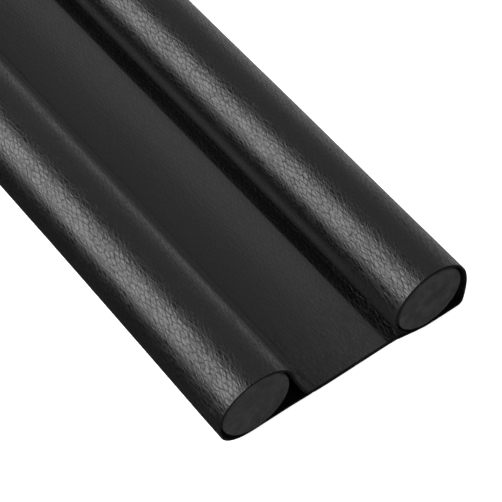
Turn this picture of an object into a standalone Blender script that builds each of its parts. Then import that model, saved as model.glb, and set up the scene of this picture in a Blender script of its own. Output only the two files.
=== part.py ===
"""A twin-roll draught excluder.

Two foam rods lie in the two pockets of one sleeve. The sleeve is a single cut of leatherette: it starts
under the middle of the web, passes below the left rod, goes up round it and down to the left seam, crosses
the web as its upper ply, folds back at the right seam, goes up round the right rod and returns along the
floor to meet its first edge under the web.

Metres. +X runs across from the left roll to the right one, +Y runs along the rolls, +Z is up. The origin is
in the middle of the base, on the floor. The near end, at -Y, is the end with the slack hollows.
"""

import math
import typing

import bpy


class Swell(typing.NamedTuple):
    """A slow swell along the sleeve: the most it reaches, the length of its wave and where the wave starts."""

    most: float
    length: float
    phase: float

    def at(self, y):
        """How far the ply swells at one place along the sleeve."""
        slow = math.sin(math.tau * y / self.length + self.phase)
        quick = math.sin(math.tau * y / (QUICK_WAVE * self.length) + QUICK_PHASE * self.phase)
        return self.most * (0.5 + (0.5 - QUICK_SHARE) * slow + QUICK_SHARE * quick)


# The sleeve as a whole
LENGTH = 0.930
PLY = 0.001
PLY_GAP = 0.0003
NEAR_STEP = 0.00195
NEAR_LEAN = 0.00075

# The foam rods
ROD_DIAMETER = 0.029
ROD_SPACING = 0.0766
FAR_RECESS = 0.0005
ROD_EDGE = 0.0009
ROD_SIDES = 48
FLOOR_CLEARANCE = 0.00035

# How the sleeve wraps a rod, measured from the rod's centre to the middle of the ply
WRAP_HALF_WIDTH = 0.0156
END_FLARE = 0.0002
FLARE_REACH = 0.110
LEFT_EASE = Swell(0.0002, 0.31, 0.4)
LEFT_CREST = Swell(0.0004, 0.27, 2.1)
RIGHT_EASE = Swell(0.0002, 0.29, 1.3)
RIGHT_CREST = Swell(0.0004, 0.25, 4.4)
QUICK_WAVE = 0.37
QUICK_PHASE = 2.3
QUICK_SHARE = 0.18

# How far the left roll's lower quarter fills out, as a share of its radii: a round one is 0.55
BELLY = 0.61
END_BELLY = 0.07

# The left pocket's slack side, which slopes down to the left seam
LEFT_SLACK = 0.0003
SLOPE_LEAVES_AT = 22.0
SLOPE_FOOT_HEADING = -62.0
LEFT_SEAM = 0.0236
SEAM_RADIUS = 0.0014
SEAM_WANDER = Swell(0.0003, 0.21, 5.2)
SLOPE_SAG = Swell(0.0009, 0.23, 3.7)

# The right pocket's slack side, which bulges out and turns at a creased corner
BULGE_LEAVES_AT = 58.0
BULGE_GROWTH = Swell(0.0009, 0.33, 0.9)
CORNER_X = 0.0144
CORNER_RADIUS = 0.0021
CORNER_TURN_STARTS = -9.0
BULGE_START_PULL = 0.0118
BULGE_END_PULL = 0.0088

# The cut edges that meet below the web
EDGE_GAP = 0.0008

# Where the right ply's near cut steps back under the right rod, as shares of the way from corner to edge
STEP_STARTS = 0.28
STEP_REACH = 0.40

# The foam and leatherette finishes
LEATHERETTE_COLOUR = (0.016, 0.016, 0.017)
LEATHERETTE_ROUGHNESS = 0.42
FOAM_COLOUR = (0.030, 0.031, 0.032)
FOAM_ROUGHNESS = 0.85

# How finely the fold at the right seam is found, in degrees, and the least angle of an edge that is rounded
FOLD_TOLERANCE = 0.000001
ROUNDED_ANGLE = 40.0

# Steps along each stretch of the section, and sections along the length
LEFT_BASE_STEPS = 3
RIGHT_BASE_STEPS = 8
LEFT_LOWER_STEPS = 9
LEFT_UPPER_STEPS = 15
SLOPE_STEPS = 6
SEAM_STEPS = 4
WEB_STEPS = 5
TUCK_STEPS = 7
RIGHT_LOWER_STEPS = 4
RIGHT_UPPER_STEPS = 12
BULGE_STEPS = 8
CORNER_STEPS = 4
LENGTH_STEPS = 27
END_CROWDING = 0.095

ROD_RADIUS = ROD_DIAMETER / 2
LOWER_PLY = PLY / 2
UPPER_PLY = LOWER_PLY + PLY + PLY_GAP
ROD_HEIGHT = PLY + FLOOR_CLEARANCE + ROD_RADIUS
WRAP_HALF_HEIGHT = ROD_HEIGHT - LOWER_PLY


def smooth(share):
    """Eases a share of a stretch from 0 to 1, and holds it there outside the stretch."""
    share = min(1.0, max(0.0, share))
    return share * share * (3.0 - 2.0 * share)


def near_end(y):
    """How close a section is to the near end: 1 at the cut edge and 0 past the flare's reach."""
    return 1.0 - smooth((y + LENGTH / 2) / FLARE_REACH)


def round_point(centre, radii, degrees):
    """A point on an ellipse, as (x, z)."""
    angle = math.radians(degrees)
    return (centre[0] + radii[0] * math.cos(angle), centre[1] + radii[1] * math.sin(angle))


def arc(centre, radii, first, last, steps):
    """Points along an ellipse from one angle to another."""
    return [round_point(centre, radii, first + (last - first) * i / steps) for i in range(steps + 1)]


def straight(start, end, steps):
    """Points along a straight stretch."""
    return [tuple(a + (b - a) * i / steps for a, b in zip(start, end)) for i in range(steps + 1)]


def bent(start, start_heading, start_pull, end, end_heading, end_pull, steps):
    """Points along a Bezier curve that leaves and arrives on the given headings, in degrees."""
    out = math.radians(start_heading)
    into = math.radians(end_heading)
    handle_a = (start[0] + start_pull * math.cos(out), start[1] + start_pull * math.sin(out))
    handle_b = (end[0] - end_pull * math.cos(into), end[1] - end_pull * math.sin(into))
    points = []
    for i in range(steps + 1):
        t = i / steps
        weights = ((1 - t) ** 3, 3 * t * (1 - t) ** 2, 3 * t * t * (1 - t), t**3)
        corners = (start, handle_a, handle_b, end)
        points.append(tuple(sum(w * c[k] for w, c in zip(weights, corners)) for k in (0, 1)))
    return points


def clockwise_heading(radii, degrees):
    """The heading, in degrees, of a path that runs clockwise round an ellipse and has reached this angle."""
    angle = math.radians(degrees)
    return math.degrees(math.atan2(-radii[1] * math.cos(angle), radii[0] * math.sin(angle)))


def tuck(centre, radii):
    """The fold at the right seam, where the web's upper ply turns back up under the roll.

    Returns the angle at which the ply meets the wrap, the fold's centre, and the fold's last angle.
    """
    low, high = 180.0, 270.0
    while high - low > FOLD_TOLERANCE:
        meets = (low + high) / 2
        point = round_point(centre, radii, meets)
        angle = math.radians(meets)
        outward = (radii[1] * math.cos(angle), radii[0] * math.sin(angle))
        reach = math.hypot(*outward)
        outward = (outward[0] / reach, outward[1] / reach)
        fold = (point[0] + SEAM_RADIUS * outward[0], point[1] + SEAM_RADIUS * outward[1])
        if fold[1] - SEAM_RADIUS > UPPER_PLY:
            low = meets
        else:
            high = meets
    last = math.degrees(math.atan2(-outward[1], -outward[0]))
    return meets, fold, last


def wrap_radii(flare, ease, crest, y):
    """The half width and half height of a wrap's lower and upper halves, as two pairs."""
    half_width = WRAP_HALF_WIDTH + flare - ease.at(y) * (1 - near_end(y))
    upper_height = WRAP_HALF_HEIGHT + crest.at(y) + flare / 2
    return (half_width, WRAP_HALF_HEIGHT), (half_width, upper_height)


def left_pocket(y):
    """The ply from under the left rod, round it and down the slope to the left seam."""
    centre = (0.0, ROD_HEIGHT)
    lower, upper = wrap_radii(END_FLARE * near_end(y), LEFT_EASE, LEFT_CREST, y)
    slack_centre = (LEFT_SLACK / 2, ROD_HEIGHT)
    upper = (upper[0] + LEFT_SLACK / 2, upper[1])
    leaves = round_point(slack_centre, upper, SLOPE_LEAVES_AT)
    fold = (LEFT_SEAM + SEAM_WANDER.at(y), UPPER_PLY + SEAM_RADIUS)
    fold_radii = (SEAM_RADIUS, SEAM_RADIUS)
    foot_angle = SLOPE_FOOT_HEADING - 90.0
    foot = round_point(fold, fold_radii, foot_angle)
    run = math.dist(leaves, foot) / 3
    sag = math.degrees(SLOPE_SAG.at(y) / run)
    start_heading = clockwise_heading(upper, SLOPE_LEAVES_AT) - sag
    belly = BELLY + END_BELLY * near_end(y)
    lowest = round_point(centre, lower, 270.0)
    widest = round_point(centre, lower, 180.0)
    return [
        bent(lowest, 180.0, belly * lower[0], widest, 90.0, belly * lower[1], LEFT_LOWER_STEPS),
        arc(slack_centre, upper, 180.0, SLOPE_LEAVES_AT, LEFT_UPPER_STEPS),
        bent(leaves, start_heading, run, foot, SLOPE_FOOT_HEADING + sag, run, SLOPE_STEPS),
        arc(fold, fold_radii, foot_angle, -90.0, SEAM_STEPS),
    ]


def right_pocket(y):
    """The ply from the right seam's fold, round the right rod, down the bulge and round the corner."""
    centre = (ROD_SPACING, ROD_HEIGHT)
    lower, upper = wrap_radii(END_FLARE * near_end(y), RIGHT_EASE, RIGHT_CREST, y)
    meets, fold, last = tuck(centre, lower)
    growth = BULGE_GROWTH.at(y) * (1 - near_end(y))
    leaves = round_point(centre, upper, BULGE_LEAVES_AT)
    start_heading = clockwise_heading(upper, BULGE_LEAVES_AT)
    corner = (ROD_SPACING + CORNER_X + growth / 2, LOWER_PLY + CORNER_RADIUS)
    corner_radii = (CORNER_RADIUS, CORNER_RADIUS)
    turns = round_point(corner, corner_radii, CORNER_TURN_STARTS)
    end_heading = CORNER_TURN_STARTS - 90.0
    start_pull = BULGE_START_PULL + growth
    end_pull = BULGE_END_PULL + growth
    return [
        arc(fold, (SEAM_RADIUS, SEAM_RADIUS), -90.0, last, TUCK_STEPS),
        arc(centre, lower, meets, 180.0, RIGHT_LOWER_STEPS),
        arc(centre, upper, 180.0, BULGE_LEAVES_AT, RIGHT_UPPER_STEPS),
        bent(leaves, start_heading, start_pull, turns, end_heading, end_pull, BULGE_STEPS),
        arc(corner, corner_radii, CORNER_TURN_STARTS, -90.0, CORNER_STEPS),
    ]


def section(y):
    """The middle line of the ply at one place along the sleeve, as (x, z) from the left rod's centre."""
    left = left_pocket(y)
    right = right_pocket(y)
    left_seam = left[-1][-1]
    right_seam = right[0][0]
    middle = (LEFT_SEAM + right_seam[0]) / 2
    first_edge = (middle - EDGE_GAP / 2, LOWER_PLY)
    last_edge = (middle + EDGE_GAP / 2, LOWER_PLY)
    runs = [
        straight(first_edge, left[0][0], LEFT_BASE_STEPS),
        *left,
        straight(left_seam, right_seam, WEB_STEPS),
        *right,
        straight(right[-1][-1], last_edge, RIGHT_BASE_STEPS),
    ]
    points = [runs[0][0]]
    for run in runs:
        points += run[1:]
    return points


def step_shares():
    """How much of the near end's step each point of the section takes.

    The right roll reaches furthest. The web, the left roll and the plies under the web all stop short of it.
    """
    left = LEFT_BASE_STEPS + LEFT_LOWER_STEPS + LEFT_UPPER_STEPS + SLOPE_STEPS + SEAM_STEPS + WEB_STEPS
    roll = RIGHT_LOWER_STEPS + RIGHT_UPPER_STEPS + BULGE_STEPS + CORNER_STEPS
    tucked = [1.0 - smooth(i / TUCK_STEPS) for i in range(1, TUCK_STEPS + 1)]
    below = [smooth((i / RIGHT_BASE_STEPS - STEP_STARTS) / STEP_REACH) for i in range(1, RIGHT_BASE_STEPS + 1)]
    return [1.0] * (left + 1) + tucked + [0.0] * roll + below


def near_trim(x, z, share, y):
    """How far a point moves along the sleeve because the near end is cut back.

    The left roll's cut leans forward at its top, which fades across the web.
    """
    rolled = 1.0 - smooth((x - LEFT_SEAM / 2) / LEFT_SEAM)
    lean = rolled * NEAR_LEAN * (ROD_HEIGHT - z) / ROD_HEIGHT
    return share * near_end(y) * (NEAR_STEP + lean)


def station(index):
    """The place of one section along the length, crowded a little towards both ends."""
    share = index / LENGTH_STEPS
    share -= END_CROWDING * math.sin(math.tau * share)
    return LENGTH * (share - 0.5)


def width_centre():
    """The middle of the sleeve's whole width, from the left rod's centre, with half the ply added outside."""
    across = [x for i in range(LENGTH_STEPS + 1) for x, _ in section(station(i))]
    return (min(across) + max(across)) / 2


def finish(name, colour, roughness):
    """A plain material for one sub-part."""
    material = bpy.data.materials.new(name)
    material.use_nodes = True
    shader = material.node_tree.nodes["Principled BSDF"]
    shader.inputs["Base Color"].default_value = (*colour, 1.0)
    shader.inputs["Roughness"].default_value = roughness
    shader.inputs["Metallic"].default_value = 0.0
    return material


def adopt(obj, name, material, collection):
    """Names an object, gives it its material, shades it smooth and moves it to the collection."""
    obj.name = name
    obj.data.name = name
    obj.data.materials.append(material)
    for owner in list(obj.users_collection):
        owner.objects.unlink(obj)
    collection.objects.link(obj)
    obj.data.shade_smooth()
    return obj


def make_sleeve(shift, material, collection):
    """A flat grid folded along the section at every station, then given the ply's thickness."""
    steps_across = len(section(0.0)) - 1
    bpy.ops.mesh.primitive_grid_add(x_subdivisions=steps_across, y_subdivisions=LENGTH_STEPS, size=1.0)
    sleeve = bpy.context.object
    folded = [section(station(i)) for i in range(LENGTH_STEPS + 1)]
    shares = step_shares()
    for vertex in sleeve.data.vertices:
        column = round((vertex.co.x + 0.5) * steps_across)
        row = round((vertex.co.y + 0.5) * LENGTH_STEPS)
        x, z = folded[row][column]
        y = station(row)
        vertex.co = (x - shift, y + near_trim(x, z, shares[column], y), z)
    adopt(sleeve, "sleeve", material, collection)
    thickness = sleeve.modifiers.new("Ply", "SOLIDIFY")
    thickness.thickness = PLY
    thickness.offset = 0.0
    thickness.use_even_offset = True
    thickness.use_rim = True
    return sleeve


def make_rod(name, x, set_back, material, collection):
    """A round foam rod with softened edges, whose near face lies in the sleeve's mouth."""
    start = -LENGTH / 2 + set_back
    end = LENGTH / 2 - FAR_RECESS
    bpy.ops.mesh.primitive_cylinder_add(
        vertices=ROD_SIDES,
        radius=ROD_RADIUS,
        depth=end - start,
        location=(x, (start + end) / 2, ROD_HEIGHT),
        rotation=(math.radians(90.0), 0.0, 0.0),
    )
    rod = adopt(bpy.context.object, name, material, collection)
    edge = rod.modifiers.new("Soft edge", "BEVEL")
    edge.width = ROD_EDGE
    edge.segments = 2
    edge.limit_method = "ANGLE"
    edge.angle_limit = math.radians(ROUNDED_ANGLE)
    return rod


def main():
    """Clears the scene and builds the sleeve and its two rods."""
    for obj in list(bpy.data.objects):
        bpy.data.objects.remove(obj, do_unlink=True)
    collection = bpy.data.collections.new("draught_excluder")
    bpy.context.scene.collection.children.link(collection)
    leatherette = finish("leatherette", LEATHERETTE_COLOUR, LEATHERETTE_ROUGHNESS)
    foam = finish("foam", FOAM_COLOUR, FOAM_ROUGHNESS)
    shift = width_centre()
    make_sleeve(shift, leatherette, collection)
    make_rod("rod_left", -shift, NEAR_STEP, foam, collection)
    make_rod("rod_right", ROD_SPACING - shift, 0.0, foam, collection)


main()
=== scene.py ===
"""The looks of a twin-roll draught excluder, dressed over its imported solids.

One cut of black leatherette wraps both foam rods and crosses between them as a flat web. The script folds
that sheet again, finely, along the same section as the solids, gives it its grain, its backing and its
sewing, cuts the foam ends, and lights the whole from behind on the left, so that a soft band of light runs
along each roll.

Metres, in the frame of the solids: +X across the rolls, +Y along them, +Z up.
"""

from __future__ import annotations

import logging
import math
from collections.abc import Sequence
from dataclasses import dataclass, field
from enum import Enum

import bpy
import numpy as np
from mathutils import Matrix, Vector, noise

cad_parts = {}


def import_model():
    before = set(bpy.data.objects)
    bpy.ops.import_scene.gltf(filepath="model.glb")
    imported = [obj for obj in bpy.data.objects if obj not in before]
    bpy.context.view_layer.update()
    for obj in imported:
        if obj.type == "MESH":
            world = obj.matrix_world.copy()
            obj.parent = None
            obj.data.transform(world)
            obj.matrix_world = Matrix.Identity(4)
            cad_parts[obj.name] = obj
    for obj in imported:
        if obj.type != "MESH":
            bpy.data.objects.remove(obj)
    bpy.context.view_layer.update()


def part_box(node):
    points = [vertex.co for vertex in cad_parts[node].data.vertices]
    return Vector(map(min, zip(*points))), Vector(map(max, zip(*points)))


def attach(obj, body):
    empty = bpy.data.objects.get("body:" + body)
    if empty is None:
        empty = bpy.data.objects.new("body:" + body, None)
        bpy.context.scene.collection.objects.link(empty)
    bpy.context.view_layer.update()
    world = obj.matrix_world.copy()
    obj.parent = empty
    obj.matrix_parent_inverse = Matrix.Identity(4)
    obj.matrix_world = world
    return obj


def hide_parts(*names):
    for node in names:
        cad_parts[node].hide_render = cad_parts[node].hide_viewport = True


LOG = logging.getLogger("draught_excluder")

# How near two places have to be, in metres, to be taken as the same
SAME_PLACE = 1e-5

# How far inside the near cut the camera's focus lies, on the left rod's axis
FOCUS_INSET = 0.0024

Point = tuple[float, float]


class Side(Enum):
    """The two rolls, by the side of the web that they lie on."""

    LEFT = "left"
    RIGHT = "right"


class Slot(Enum):
    """The record's material slots."""

    LEATHERETTE = "leatherette"
    FOAM = "foam"


def smooth(share: float) -> float:
    """Eases a share of a stretch from 0 to 1.

    Args:
        share: how far along the stretch a place is; outside 0 to 1 it is held at the ends.

    Returns:
        The eased share.
    """
    share = min(1.0, max(0.0, share))
    return share * share * (3.0 - 2.0 * share)


def deselect_all() -> None:
    """Leaves nothing selected, so that an operator acts only on what is added or picked next."""
    for obj in bpy.context.selected_objects:
        obj.select_set(False)


def pick(*objects: bpy.types.Object) -> None:
    """Leaves only these objects selected, with the first one active.

    Args:
        objects: the objects that the next operator acts on.
    """
    deselect_all()
    for obj in objects:
        obj.select_set(True)
    bpy.context.view_layer.objects.active = objects[0]


def apply_modifiers(obj: bpy.types.Object) -> None:
    """Applies an object's modifiers in order.

    Args:
        obj: the mesh object, which is made the active one.
    """
    pick(obj)
    for modifier in list(obj.modifiers):
        bpy.ops.object.modifier_apply(modifier=modifier.name)


def settle_place(obj: bpy.types.Object) -> None:
    """Moves an object's place, turn and size into its mesh.

    Args:
        obj: the object, left at the origin, unturned and unscaled.
    """
    pick(obj)
    bpy.ops.object.transform_apply(location=True, rotation=True, scale=True)


# Shader maths


@dataclass(frozen=True)
class Value:
    """A number in a material, on which arithmetic adds Math nodes."""

    nodes: Nodes
    socket: bpy.types.NodeSocket

    def _with(self, operation: str, first: Value | float, second: Value | float) -> Value:
        """Adds one Math node.

        Args:
            operation: the Math node's operation.
            first: its first value.
            second: its second value.

        Returns:
            The node's result.
        """
        made = self.nodes.node("ShaderNodeMath", {"operation": operation}, {0: first, 1: second})
        return Value(self.nodes, made.outputs[0])

    def __add__(self, other: Value | float) -> Value:
        """This plus other."""
        return self._with("ADD", self, other)

    def __radd__(self, other: float) -> Value:
        """Other plus this."""
        return self._with("ADD", other, self)

    def __sub__(self, other: Value | float) -> Value:
        """This less other."""
        return self._with("SUBTRACT", self, other)

    def __rsub__(self, other: float) -> Value:
        """Other less this."""
        return self._with("SUBTRACT", other, self)

    def __mul__(self, other: Value | float) -> Value:
        """This times other."""
        return self._with("MULTIPLY", self, other)

    def __rmul__(self, other: float) -> Value:
        """Other times this."""
        return self._with("MULTIPLY", other, self)

    def eased(self, low: float, high: float) -> Value:
        """Turns a stretch of this number into an eased 0 to 1.

        Args:
            low: the number that gives 0.
            high: the number that gives 1.

        Returns:
            The eased number.
        """
        sockets = {"Value": self, "From Min": low, "From Max": high}
        made = self.nodes.node("ShaderNodeMapRange", {"interpolation_type": "SMOOTHSTEP"}, sockets)
        return Value(self.nodes, made.outputs["Result"])

    def between(self, low: float, high: float) -> Value:
        """The number that goes from low to high as this one goes from 0 to 1."""
        return low + self * (high - low)


class Nodes:
    """One material's nodes, with the one method that adds a node."""

    def __init__(self, name: str) -> None:
        """Starts a material on a Principled shader.

        Args:
            name: the material's name.
        """
        self.material = bpy.data.materials.new(name)
        self.material.use_nodes = True
        self.tree = self.material.node_tree
        self.shader = self.tree.nodes["Principled BSDF"]

    def node(
        self,
        kind: str,
        settings: dict[str, object] | None = None,
        sockets: dict[str | int, object] | None = None,
    ) -> bpy.types.Node:
        """Adds a node.

        Args:
            kind: the node's type.
            settings: the node's own settings, which are set first.
            sockets: a value or a link for each input, by its name or its place.

        Returns:
            The node.
        """
        made = self.tree.nodes.new(kind)
        for name, setting in (settings or {}).items():
            setattr(made, name, setting)
        for name, given in (sockets or {}).items():
            self.feed(made.inputs[name], given)
        return made

    def feed(self, socket: bpy.types.NodeSocket, given: object) -> None:
        """Sets one input.

        Args:
            socket: the input.
            given: a Value, another node's output, or the input's own value.
        """
        if isinstance(given, Value):
            given = given.socket
        if isinstance(given, bpy.types.NodeSocket):
            self.tree.links.new(given, socket)
        else:
            socket.default_value = given

    def constants(self, **values: object) -> None:
        """Sets the shader's inputs that are the same all over.

        Args:
            values: each input's value, under its name in lower case with low lines for spaces.
        """
        for name, value in values.items():
            self.shader.inputs[name.replace("_", " ").title().replace("Ior", "IOR")].default_value = value

    def coordinates(self, output: str) -> bpy.types.NodeSocket:
        """One output of Texture Coordinate, UV or Object."""
        return self.node("ShaderNodeTexCoord").outputs[output]

    def turned(self, vector: bpy.types.NodeSocket, turn: float) -> bpy.types.NodeSocket:
        """Coordinates turned about Z by some degrees."""
        sockets = {"Vector": vector, "Rotation": (0, 0, math.radians(turn))}
        return self.node("ShaderNodeMapping", {}, sockets).outputs[0]

    def mapped(
        self,
        vector: bpy.types.NodeSocket,
        cell: Sequence[float],
        turn: float = 0.0,
    ) -> bpy.types.NodeSocket:
        """Turns coordinates and measures them in cells.

        Args:
            vector: coordinates in metres.
            cell: the size of one cell along each axis, in metres.
            turn: how far the pattern is turned about Z, in degrees.

        Returns:
            The coordinates in cells.
        """
        scale = [1.0 / side for side in cell]
        sockets = {"Vector": self.turned(vector, turn), "Scale": scale}
        return self.node("ShaderNodeMapping", {}, sockets).outputs[0]

    def noise(
        self,
        vector: bpy.types.NodeSocket,
        cell: Sequence[float],
        detail: float = 2.0,
        roughness: float = 0.5,
        turn: float = 0.0,
    ) -> Value:
        """A noise from 0 to 1.

        Args:
            vector: coordinates in metres.
            cell: the size of one swell along each axis, in metres.
            detail: the octaves above the first.
            roughness: how much each octave keeps of the one before.
            turn: how far the pattern is turned about Z, in degrees.

        Returns:
            The noise.
        """
        place = self.mapped(vector, cell, turn)
        sockets = {"Vector": place, "Scale": 1.0, "Detail": detail, "Roughness": roughness}
        return Value(self, self.node("ShaderNodeTexNoise", {}, sockets).outputs["Fac"])

    def swayed(self, vector: bpy.types.NodeSocket, cell: float, sway: float) -> bpy.types.NodeSocket:
        """Coordinates that wander, so that a pattern on them isn't even.

        Args:
            vector: coordinates in metres.
            cell: the size of one wander, in metres.
            sway: how far a point moves, in metres.

        Returns:
            The moved coordinates.
        """
        sockets = {"Vector": self.mapped(vector, (cell,) * 3), "Scale": 1.0, "Detail": 2.0}
        colour = self.node("ShaderNodeTexNoise", {}, sockets).outputs["Color"]
        moved = colour
        for operation, inputs in (
            ("SUBTRACT", {1: (0.5, 0.5, 0.5)}),
            ("SCALE", {"Scale": sway}),
            ("ADD", {1: vector}),
        ):
            sockets = {0: moved, **inputs}
            moved = self.node("ShaderNodeVectorMath", {"operation": operation}, sockets).outputs[0]
        return moved

    def cell_edges(
        self,
        vector: bpy.types.NodeSocket,
        cell: Sequence[float],
        turn: float = 0.0,
        jitter: float = 0.95,
    ) -> Value:
        """How far a point is from the edge of its cell, in cells.

        Args:
            vector: coordinates in metres.
            cell: the size of one cell along each axis, in metres.
            turn: how far the cells are turned about Z, in degrees.
            jitter: how uneven the cells are, from 0 to 1.

        Returns:
            0 on an edge and about 0.4 in a cell's middle.
        """
        sockets = {"Vector": self.mapped(vector, cell, turn), "Scale": 1.0, "Randomness": jitter}
        settings = {"feature": "DISTANCE_TO_EDGE"}
        return Value(self, self.node("ShaderNodeTexVoronoi", settings, sockets).outputs["Distance"])

    def lines(self, vector: bpy.types.NodeSocket, cell: Sequence[float], turn: float, width: float) -> Value:
        """Thin uneven lines that run along Y.

        Args:
            vector: coordinates in metres.
            cell: how far apart the lines are and how far they run straight, in metres.
            turn: how far they are turned about Z, in degrees.
            width: half a line's width, as a share of the cell.

        Returns:
            1 in the middle of a line and 0 beside it.
        """
        wave = self.noise(vector, cell, detail=1.5, turn=turn)
        return wave.eased(0.5 - width, 0.5) * (1.0 - wave.eased(0.5, 0.5 + width))

    def lozenges(
        self,
        vector: bpy.types.NodeSocket,
        diagonals: Sequence[float],
        turn: float,
        jitter: float,
    ) -> Value:
        """How far a point is from the edge of its lozenge, on a net of uneven lozenges.

        Args:
            vector: coordinates in metres.
            diagonals: a lozenge's width along X and its length along Y, in metres.
            turn: how far the net is turned about Z, in degrees.
            jitter: how uneven the lozenges are, from 0 to 1.

        Returns:
            0 on an edge and about 0.5 in a lozenge's middle.
        """
        scale = (math.sqrt(2) / diagonals[0], math.sqrt(2) / diagonals[1], 1.0)
        diagonal = (0, 0, math.radians(45))
        sockets = {"Vector": self.turned(vector, turn), "Rotation": diagonal, "Scale": scale}
        squared = self.node("ShaderNodeMapping", {}, sockets).outputs[0]
        settings = {"feature": "DISTANCE_TO_EDGE", "voronoi_dimensions": "2D"}
        sockets = {"Vector": squared, "Scale": 1.0, "Randomness": jitter}
        return Value(self, self.node("ShaderNodeTexVoronoi", settings, sockets).outputs["Distance"])

    def along(self, vector: bpy.types.NodeSocket, axis: str) -> Value:
        """One coordinate, X, Y or Z, as a number."""
        return Value(self, self.node("ShaderNodeSeparateXYZ", {}, {0: vector}).outputs[axis])

    def tint(self, mask: Value, low: Sequence[float], high: Sequence[float]) -> None:
        """Colours the shader between two colours.

        Args:
            mask: 0 for the first colour and 1 for the second.
            low: the first colour.
            high: the second colour.
        """
        sockets = {"Factor": mask, 6: (*low, 1.0), 7: (*high, 1.0)}
        mixed = self.node("ShaderNodeMix", {"data_type": "RGBA"}, sockets)
        self.feed(self.shader.inputs["Base Color"], mixed.outputs[2])

    def emboss(self, height: Value, depth: float) -> None:
        """Raises a relief on the shader.

        Args:
            height: the relief, as a share of its depth.
            depth: the depth that 1 stands for, in metres.
        """
        bump = self.node("ShaderNodeBump", {}, {"Height": height, "Distance": depth, "Strength": 1.0})
        self.feed(self.shader.inputs["Normal"], bump.outputs["Normal"])


# Finishes


@dataclass(frozen=True)
class Groove:
    """How deep one kind of groove in the grain is, and how much duller its bottom is."""

    depth: float
    dulling: float


@dataclass(frozen=True)
class Leatherette:
    """Black coated cloth with a pebbled grain that is drawn out along the roll.

    Cells are in metres on the flat sheet, across the cut and along it; the third axis isn't used. Heights and
    depths of the grain's parts are shares of grain_depth. The grain lies flatter on the rolls' flanks than on
    their crests, and the near end is creased.
    """

    near_cut: float
    name: str = "leatherette_grain"
    dark: tuple[float, float, float] = (0.0034, 0.0034, 0.0036)
    pale: tuple[float, float, float] = (0.0052, 0.0052, 0.0055)
    gloss: float = 0.22
    grain_depth: float = 0.00020

    # Pebbles, as a net of uneven lozenges on coordinates that wander
    wander_cell: float = 0.0040
    wander: float = 0.0006
    lozenge: tuple[float, float] = (0.00186, 0.0047)
    lozenge_turn: float = 8.0
    unevenness: float = 0.62
    dome_reach: float = 0.45
    dome_height: float = 0.04
    groove_reach: float = 0.17
    groove: Groove = Groove(0.07, 0.25)

    # Long thin lines that cross the pebbles
    line_cell: tuple[float, float, float] = (0.0018, 0.0130, 1.0)
    line_turns: tuple[float, float] = (23.0, -6.0)
    line_width: float = 0.070
    line: Groove = Groove(0.12, 0.09)

    # Creases, in patches and at the near end
    drift_cell: float = 0.0060
    drift: float = 0.0030
    crease_cell: tuple[float, float, float] = (0.0028, 0.0120, 1.0)
    crease_turn: float = 12.0
    crease_width: float = 0.07
    crease: Groove = Groove(0.10, 0.10)
    patch_cell: tuple[float, float, float] = (0.010, 0.022, 1.0)
    patch_range: tuple[float, float] = (0.46, 0.62)
    patch_share: float = 0.55
    near_reach: float = 0.055
    near_flank_share: float = 2.2
    near_crest_share: float = 1.0

    # The heights where the flanks end and the crests start, and how much of the grain shows on each
    flank: float = 0.0195
    crest: float = 0.0300
    flank_share: float = 0.50
    crest_share: float = 1.15

    # Pores, slow swells and worn places
    pore_cell: tuple[float, float, float] = (0.00035, 0.0006, 1.0)
    pore_height: float = 0.03
    swell_cell: tuple[float, float, float] = (0.0035, 0.0075, 1.0)
    swell_height: float = 0.08
    worn_cell: tuple[float, float, float] = (0.045, 0.090, 1.0)
    worn_range: tuple[float, float] = (0.3, 0.7)
    worn_dulling: float = 0.02

    def creases(self, nodes: Nodes, flat: bpy.types.NodeSocket, near: Value, raised: Value) -> Value:
        """The creases.

        Args:
            nodes: the material's nodes.
            flat: the sheet's own coordinates.
            near: 1 at the near cut and 0 away from it.
            raised: 0 on the flanks and 1 on the crests.

        Returns:
            0 away from a crease, and more the deeper one is.
        """
        drifting = nodes.swayed(flat, self.drift_cell, self.drift)
        edges = nodes.cell_edges(drifting, self.crease_cell, self.crease_turn)
        patches = nodes.noise(flat, self.patch_cell, detail=1.0).eased(*self.patch_range)
        near_share = near * raised.between(self.near_flank_share, self.near_crest_share)
        return (1.0 - edges.eased(0.0, self.crease_width)) * (patches * self.patch_share + near_share)

    def material(self) -> bpy.types.Material:
        """Makes the material.

        Returns:
            The material, on the sheet's own UV map in metres.
        """
        nodes = Nodes(self.name)
        flat = nodes.coordinates("UV")
        near = 1.0 - (nodes.along(flat, "Y") - self.near_cut).eased(0.0, self.near_reach)
        raised = nodes.along(nodes.coordinates("Object"), "Z").eased(self.flank, self.crest)
        share = (raised + near * (1.0 - raised)).between(self.flank_share, self.crest_share)
        wandering = nodes.swayed(flat, self.wander_cell, self.wander)
        edges = nodes.lozenges(wandering, self.lozenge, self.lozenge_turn, self.unevenness)
        domes = edges.eased(0.0, self.dome_reach)
        grooves = 1.0 - edges.eased(0.0, self.groove_reach)
        lines = sum(nodes.lines(wandering, self.line_cell, turn, self.line_width) for turn in self.line_turns)
        creases = self.creases(nodes, flat, near, raised)
        pores = nodes.noise(flat, self.pore_cell, detail=2.0)
        swells = nodes.noise(flat, self.swell_cell, detail=2.0)
        worn = nodes.noise(flat, self.worn_cell, detail=3.0)
        heights = domes * self.dome_height + swells * self.swell_height + pores * self.pore_height
        depths = grooves * self.groove.depth + lines * self.line.depth + creases * self.crease.depth
        nodes.emboss((heights - depths) * share, self.grain_depth)
        nodes.tint(worn.eased(*self.worn_range), self.dark, self.pale)
        dull_net = (grooves * self.groove.dulling + lines * self.line.dulling) * share
        rough = self.gloss + dull_net + worn * self.worn_dulling + creases * self.crease.dulling
        nodes.feed(nodes.shader.inputs["Roughness"], rough)
        nodes.constants(metallic=0.0, ior=1.5)
        return nodes.material


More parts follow.
